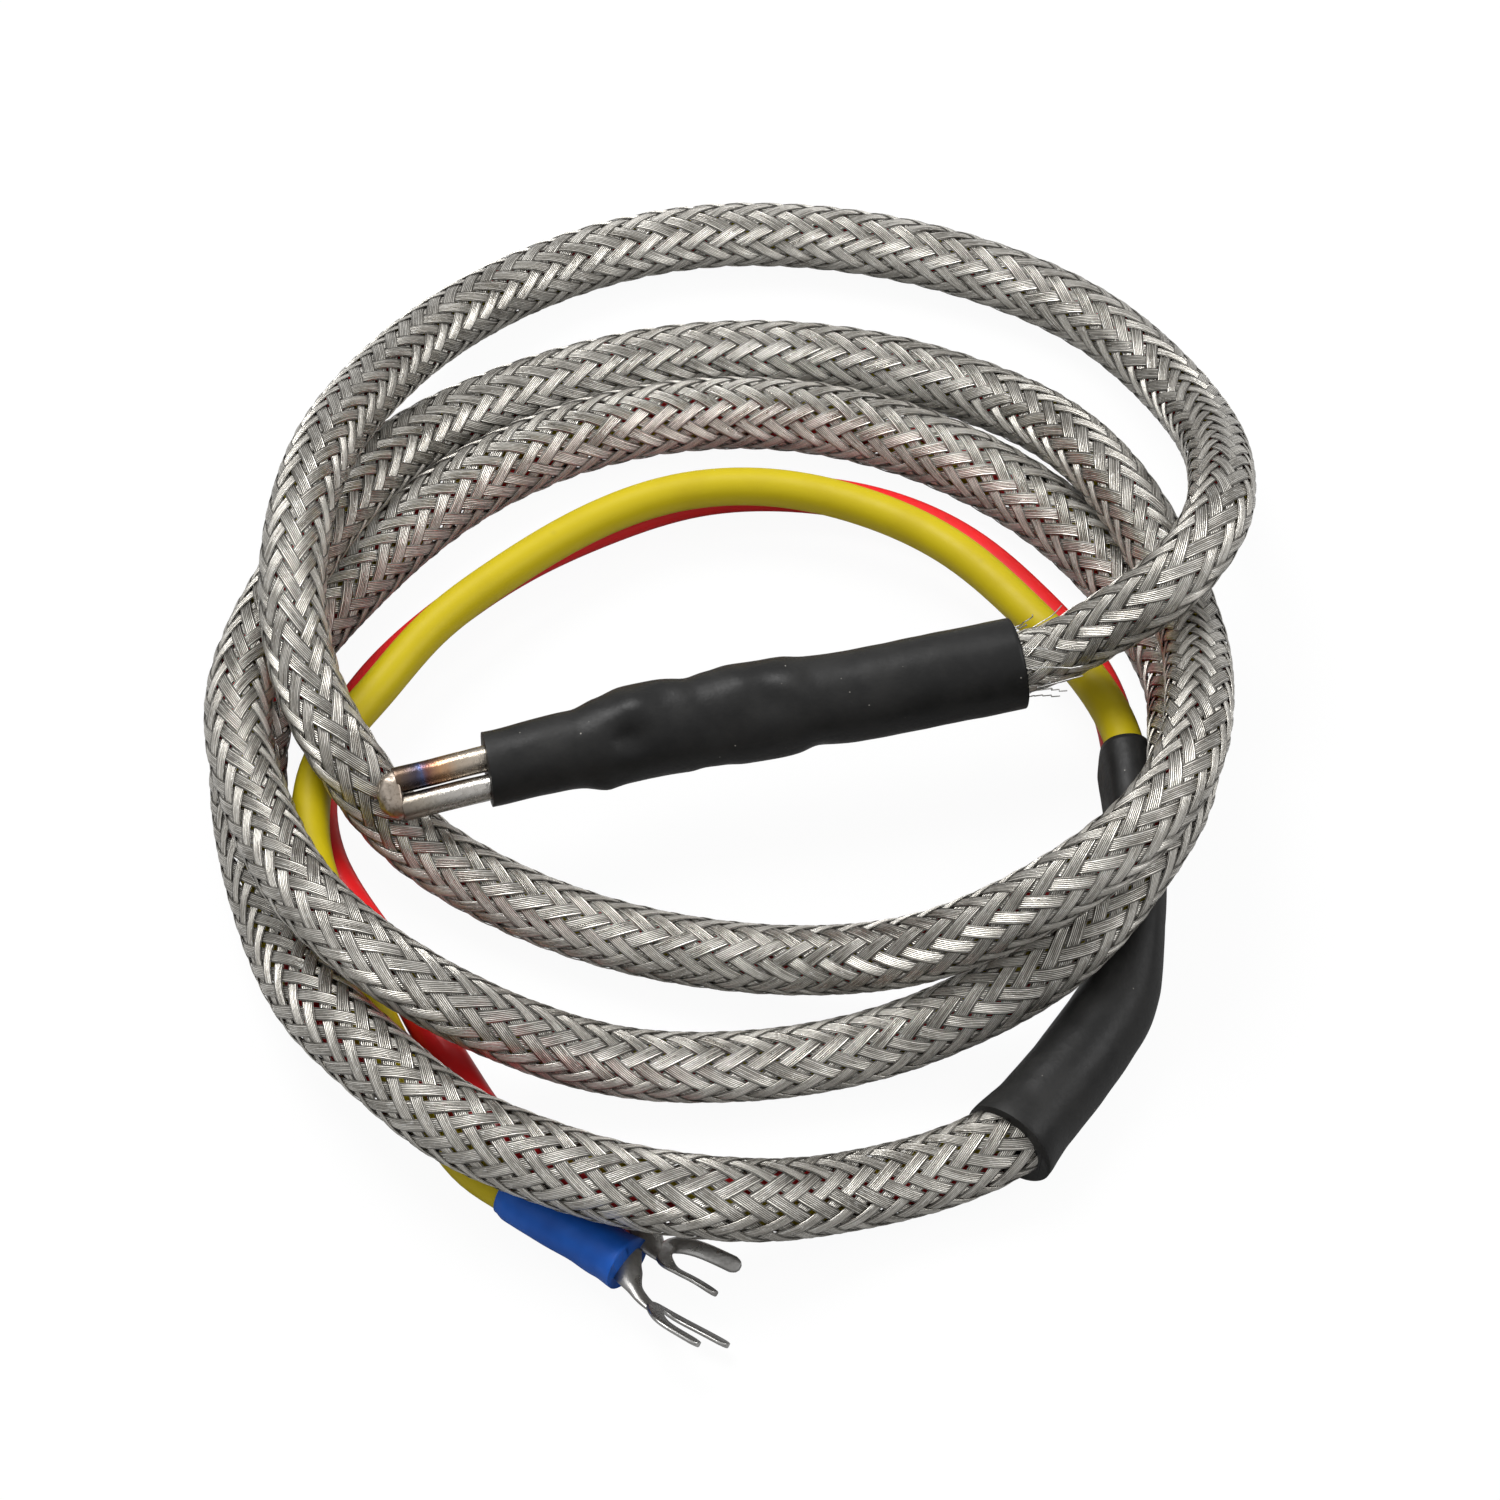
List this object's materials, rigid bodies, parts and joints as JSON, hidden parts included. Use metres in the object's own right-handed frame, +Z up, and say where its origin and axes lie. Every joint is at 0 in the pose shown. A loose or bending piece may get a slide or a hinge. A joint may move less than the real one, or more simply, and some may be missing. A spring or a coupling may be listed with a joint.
{
  "type": "stove thermocouple",
  "caption": "Stove thermocouple: twin-leg welded probe in a black sleeve, coiled steel-braided cable, and red and yellow leads with fork terminals.",
  "frame": {"origin": "middle of the probe head: the welded tip, its two legs and the black sleeve, without the cable and what is on it", "axes": "+X along the probe head from its welded tip towards the cable, +Z up, +Y across the head towards the far side of the coil"},
  "size_m": [0.1175, 0.1478, 0.0257],
  "materials": {
    "heat_tinted_steel": "dull, brown and straw heat tint",
    "bright_nickel": "drawn, with fine marks",
    "black_sleeve": "satin shrink tube",
    "steel_braid": "woven bright wire",
    "yellow_insulation": "smooth, half gloss",
    "red_insulation": "smooth, half gloss",
    "blue_boot": "smooth, a little translucent",
    "red_boot": "smooth, a little translucent",
    "tinned_copper": "tinned, half bright",
    "copper_wire": "bare copper strand"
  },
  "bodies": {
    "root": {"junction_bead": "heat_tinted_steel", "positive_leg": "heat_tinted_steel", "negative_leg": "bright_nickel", "positive_crimp": "bright_nickel", "negative_crimp": "bright_nickel", "positive_core": "yellow_insulation", "negative_core": "red_insulation", "probe_sleeve": "black_sleeve", "braided_cable": "steel_braid", "tail_sleeve": "black_sleeve", "yellow_tail_core": "yellow_insulation", "yellow_tail_crimp": "bright_nickel", "red_tail_core": "red_insulation", "red_tail_crimp": "bright_nickel", "yellow_lead": "yellow_insulation", "red_lead": "red_insulation", "blue_boot": "blue_boot", "blue_conductor": "copper_wire", "blue_fork": "tinned_copper", "red_boot": "red_boot", "red_conductor": "copper_wire", "red_fork": "tinned_copper"}
  },
  "joints": []
}
